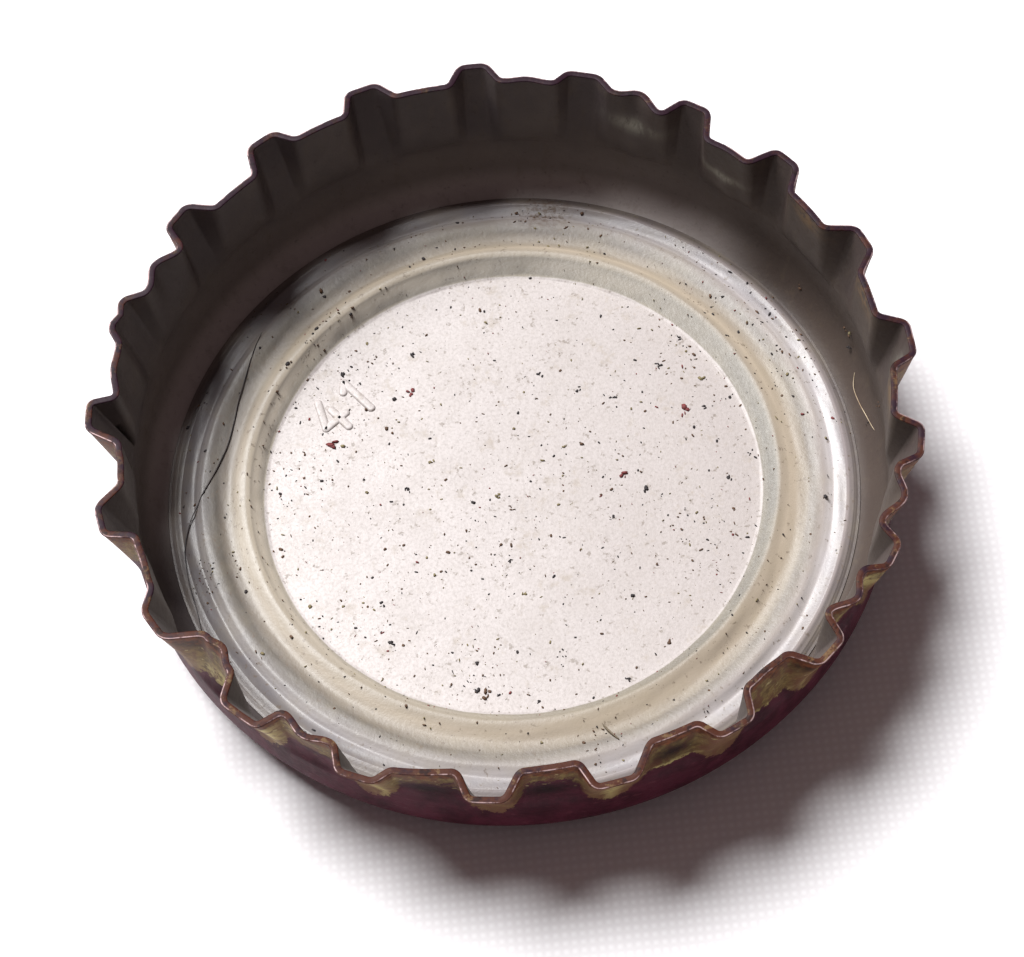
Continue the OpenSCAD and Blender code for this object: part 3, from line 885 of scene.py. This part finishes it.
def thread_finish(name, dark, light):
    """A fibre whose colour changes along it in short patches."""
    f = Finish(name)
    patch = f.noise(1.5, 3)
    return f.set(Base_Color=f.mix(f.ramp(patch, 0.35, 0.65), dark, light),
                 Roughness=0.5, Normal=f.bump(f.noise(20, 2), 0.004))


# ---------------------------------------------------------------- pieces

# a generic number where the mould has its mark: strokes as x, y to x, y along
# and up the line of writing
NUMBER_PLACE = np.array([-5.9, 3.1])
NUMBER_TURN = radians(38)
NUMBER_STROKES = [
    (0.1, 1.5, -0.4, 0.5), (-0.4, 0.5, 0.55, 0.5), (0.25, 0.95, 0.25, 0.0),
    (1.35, 0.0, 1.35, 1.5), (1.35, 1.5, 1.05, 1.2)]
STROKE_W, STROKE_H = 0.34, 0.06

# the largest grains: x, y, length and tone (0 black, 0.3 brown, 0.6 red, 1 olive)
LARGE_SPECKS = [
    (-3.2, 6.0, 0.3, 0), (-3.4, 4.4, 0.35, 0.6), (-5.8, 5.5, 0.3, 0), (-6.3, 2.6, 0.5, 0.6),
    (-3.8, 0.4, 0.3, 0), (-4.9, 3.9, 0.3, 0.3), (-2.8, 1.4, 0.35, 1), (-5.3, 1.0, 0.2, 0),
    (5.7, 4.4, 0.34, 0), (6.5, 2.4, 0.5, 0.6), (7.2, 2.5, 0.28, 0), (4.0, 0.1, 0.4, 0.6),
    (4.7, -0.6, 0.3, 0), (3.4, -1.6, 0.32, 0), (7.7, -0.5, 0.28, 0), (8.6, 0.4, 0.26, 0),
    (4.0, 3.3, 0.26, 0), (2.8, 3.8, 0.3, 0), (1.4, 4.5, 0.3, 0), (7.2, 3.7, 0.3, 1),
    (-0.6, -0.3, 0.35, 1), (-0.1, -0.8, 0.25, 0.3), (2.0, 1.5, 0.26, 1), (6.7, 5.5, 0.26, 0),
    (-1.6, -8.1, 0.5, 0.3), (-2.0, -7.8, 0.28, 0), (-4.8, -5.7, 0.34, 0), (0.0, -4.3, 0.3, 1),
    (4.8, -6.7, 0.3, 0.3), (3.3, -8.0, 0.3, 0), (0.1, -8.5, 0.22, 0), (-5.0, -4.2, 0.25, 0)]
# crumbs stuck to the skirt's inside: x, y, z, size and tone
WALL_CRUMBS = [
    (12.55, 4.2, 1.75, 0.22, 0.3), (12.65, 3.7, 1.5, 0.16, 0), (11.25, 6.7, 1.1, 0.2, 0.3),
    (13.2, 0.8, 2.1, 0.18, 0.3), (12.9, 0.8, 0.9, 0.14, 0), (12.75, 4.0, 1.95, 0.2, 1)]
GRAINS_IN_CRUMB, GRAINS_ON_WALL = 4, 5
FINE_IN_DRIFTS, FINE_ALL_OVER = 900, 1600
# where fine grains lie thickest: x, y, spread and share
DRIFTS = [
    (-5.6, 5.0, 1.2, 5), (-7.6, 1.6, 1.2, 3), (-5.4, -4.4, 1.1, 4), (-2.2, -7.2, 0.9, 3),
    (6.6, 3.2, 1.4, 5), (7.2, -2.6, 1.0, 3), (1.0, -1.0, 2.2, 4), (10.2, 3.5, 1.0, 3),
    (8.6, 7.0, 1.3, 3), (-10.9, -2.4, 0.4, 2), (2.4, 11.4, 0.7, 2), (2.0, -10.3, 0.6, 1)]
# the side of the skirt where painted light makes the lacquer paler at the foot, and the middle
# of the brown stain at the liner's edge
PAINTED_LIGHT_SIDE = radians(115)
STAIN_PLACE = (2.3, 11.4)
# the liner's tint from the film's edge outward, with painted light and shade: on the side that
# the angle below points to, and on the side across from it. The wall is painted darker on the
# side the light falls on and lighter across from it, and the rim's shadow is painted on the
# outer rings across from it
PAINTED_SHADE_SIDE = radians(-12)
NEAR_SHADED_TINTS = [
    (film_r, (108, 99, 84)), (film_r + 0.25, (84, 76, 63)),
    (wall_r + 0.06, (92, 84, 70)), (crown_r + 0.05, (146, 134, 119)),
    (crown_r + 0.35, (179, 165, 147)), (groove_r, (150, 138, 123)),
    (groove_r + 0.3, (126, 115, 101)), (groove_r + 0.42, (109, 99, 89)),
    (groove_r + 0.55, (118, 110, 102)), (bead_r, (153, 144, 140)),
    (bead_r + 0.2, (192, 185, 184)), (valley_r, (173, 167, 168)),
    (valley_r + 0.2, (151, 146, 148)), (shoulder_r - 0.06, (142, 135, 136)),
    (shoulder_r + 0.04, (151, 141, 141)), (shoulder_r + 0.3, (90, 82, 80)),
    (liner_r, (86, 77, 75))]
AWAY_SHADED_TINTS = [
    (film_r, (147, 138, 124)), (film_r + 0.25, (186, 174, 157)),
    (wall_r + 0.06, (176, 165, 149)), (crown_r + 0.05, (146, 136, 122)),
    (crown_r + 0.35, (157, 145, 129)), (groove_r, (122, 112, 100)),
    (groove_r + 0.3, (101, 93, 85)), (groove_r + 0.42, (89, 83, 76)),
    (groove_r + 0.55, (99, 93, 86)), (bead_r, (99, 93, 90)),
    (bead_r + 0.2, (126, 120, 119)), (valley_r, (112, 107, 108)),
    (valley_r + 0.2, (102, 98, 100)), (shoulder_r - 0.06, (96, 91, 92)),
    (shoulder_r + 0.04, (84, 78, 78)), (shoulder_r + 0.3, (112, 103, 100)),
    (liner_r, (106, 96, 94))]
# how far each ring's shading is evened out, in place of its milky glow, and
# how rough it is
RING_GLOW = [
    (film_r - 0.1, 0.0), (film_r, 0.85), (wall_r, 0.8), (crown_r + 0.1, 0.6),
    (valley_r - 0.15, 0.55), (valley_r + 0.05, 0.0), (shoulder_r - 0.03, 0.0),
    (shoulder_r + 0.05, 0.75), (liner_r, 0.5)]
RING_ROUGHNESS = [
    (film_r - 0.1, 0.38), (film_r, 0.34), (valley_r - 0.15, 0.32),
    (valley_r + 0.05, 0.3), (liner_r, 0.32)]
HAIR_ROUTE = [
    (-8.6, 7.3), (-9.0, 6.3), (-9.3, 5.4), (-9.6, 4.5), (-9.8, 3.7), (-10.1, 2.7),
    (-10.6, 1.6), (-11.2, 0.5), (-11.6, -0.3), (-11.8, -1.2), (-11.8, -1.9),
    (-11.7, -2.8), (-11.5, -3.8), (-11.4, -4.5)]
SHORT_FIBRE = [(2.2, -9.8), (2.4, -10.1), (2.7, -10.5)]
PALE_FIBRE = [(12.7, 2.9), (12.6, 2.4), (12.7, 1.8), (12.85, 1.2), (13.05, 0.4)]

shell = make_shell()
liner = make_liner()
number = make_number()
specks = make_specks()
threads = []
for name, stops, girth, lift in (
        ("hair", HAIR_ROUTE, 0.022, 0.03),
        ("short_fibre", SHORT_FIBRE, 0.035, 0.05),
        ("pale_fibre", PALE_FIBRE, 0.016, 0.03)):
    route = smooth_route(stops, 8, lift)
    threads.append(carried(name, route, tapered(len(route), girth)))
hair, short_fibre, pale_fibre = threads

compound = liner_finish()
shell.data.materials.append(tinplate_finish())
liner.data.materials.append(compound)
number.data.materials.append(compound)
specks.data.materials.append(speck_finish())
hair.data.materials.append(thread_finish("hair", colour(34, 30, 34), colour(62, 54, 54)))
short_fibre.data.materials.append(
    thread_finish("short_fibre", colour(60, 48, 34), colour(96, 82, 60)))
pale_fibre.data.materials.append(
    thread_finish("pale_fibre", colour(150, 126, 100), colour(196, 178, 150)))

for piece, slot in ((shell, "tinplate"), (liner, "liner"), (number, "liner"),
                    (specks, "liner"), (hair, "liner"), (short_fibre, "liner"),
                    (pale_fibre, "liner")):
    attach(piece, "root")
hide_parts("shell")
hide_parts("liner")


# ---------------------------------------------------------------- stage

def make_floor():
    """A wide round floor of rings, flat under the cap."""
    r = np.array([0.02, 0.05, 0.1, 0.3, 1, 3]) / MM
    angle = np.linspace(0, 2 * pi, 96, endpoint=False)
    grid = np.stack([
        r[:, None] * np.cos(angle), r[:, None] * np.sin(angle),
        np.zeros((len(r), len(angle)))], -1)
    points = np.concatenate([grid.reshape(-1, 3), [(0, 0, 0)]])
    j = np.arange(len(angle))
    hub = np.stack([np.full(len(j), len(points) - 1), j, (j + 1) % len(j)], -1)
    faces = ring_faces(len(r), len(angle))[:, ::-1]
    return mesh_piece("floor", points, faces, hub)


def cloth_finish():
    """White cotton: two crossed sets of threads, one over the other."""
    f = Finish("white_cloth")
    threads = []
    for way in ("X", "Y"):
        wave = f.node("ShaderNodeTexWave", bands_direction=way)
        f.put(wave.inputs["Vector"], f.place)
        f.put(wave.inputs["Scale"], pi / 10 / (WEAVE_PITCH * MM))
        f.put(wave.inputs["Distortion"], 0.6)
        f.put(wave.inputs["Detail"], 1.0)
        threads.append(wave.outputs["Fac"])
    weave = f.sum("MULTIPLY", *threads)
    return f.set(Base_Color=f.mix(weave, colour(230, 228, 230), colour(240, 239, 241)),
                 Roughness=0.9, Normal=f.bump(weave, 0.03, 0.2))


WEAVE_PITCH = 0.3
ROOM_LIGHT, ROOM_STRENGTH = (1, 0.76, 0.77, 1), 0.13
BACKDROP = (0.9, 0.9, 0.9, 1)
# directions are an azimuth and an elevation in degrees
SUN_FROM, SUN_SPREAD, SUN_STRENGTH = (129, 57.5), radians(31), 6
CAMERA_FROM, CAMERA_AWAY, CAMERA_ROLL = (-90, 61.25), 114.45, radians(-6.03)
AIM_POINT = (0, 0.58, 0)
LENS, SENSOR = 111.96, 36

floor = make_floor()
floor.data.materials.append(cloth_finish())

world = bpy.data.worlds.new("room")
bpy.context.scene.world = world
world.use_nodes = True
tree = world.node_tree
back = tree.nodes["Background"]
back.inputs["Color"].default_value = ROOM_LIGHT
back.inputs["Strength"].default_value = ROOM_STRENGTH
seen = tree.nodes.new("ShaderNodeBackground")
seen.inputs["Color"].default_value = BACKDROP
rays = tree.nodes.new("ShaderNodeLightPath")
swap = tree.nodes.new("ShaderNodeMixShader")
tree.links.new(rays.outputs["Is Camera Ray"], swap.inputs[0])
tree.links.new(back.outputs[0], swap.inputs[1])
tree.links.new(seen.outputs[0], swap.inputs[2])
tree.links.new(swap.outputs[0], tree.nodes["World Output"].inputs[0])


def toward(azimuth, elevation):
    """Unit vector that points up to a direction in the sky."""
    a, e = radians(azimuth), radians(elevation)
    return Vector((cos(e) * cos(a), cos(e) * sin(a), sin(e)))


key = bpy.data.objects.new("key_light", bpy.data.lights.new("key_light", "SUN"))
bpy.context.scene.collection.objects.link(key)
key.data.angle = SUN_SPREAD
key.data.energy = SUN_STRENGTH
key.matrix_world = toward(*SUN_FROM).to_track_quat("Z", "Y").to_matrix().to_4x4()

camera = bpy.data.objects.new("camera", bpy.data.cameras.new("camera"))
bpy.context.scene.collection.objects.link(camera)
place = toward(*CAMERA_FROM) * CAMERA_AWAY * MM
aim = Vector(AIM_POINT) * MM
turn = (place - aim).to_track_quat("Z", "Y").to_matrix().to_4x4()
camera.matrix_world = (
    Matrix.Translation(place) @ turn @ Matrix.Rotation(CAMERA_ROLL, 4, "Z"))
camera.data.sensor_width = SENSOR
camera.data.lens = LENS
camera.data.clip_start = 0.005
bpy.context.scene.camera = camera
bpy.context.scene.view_settings.view_transform = "Standard"
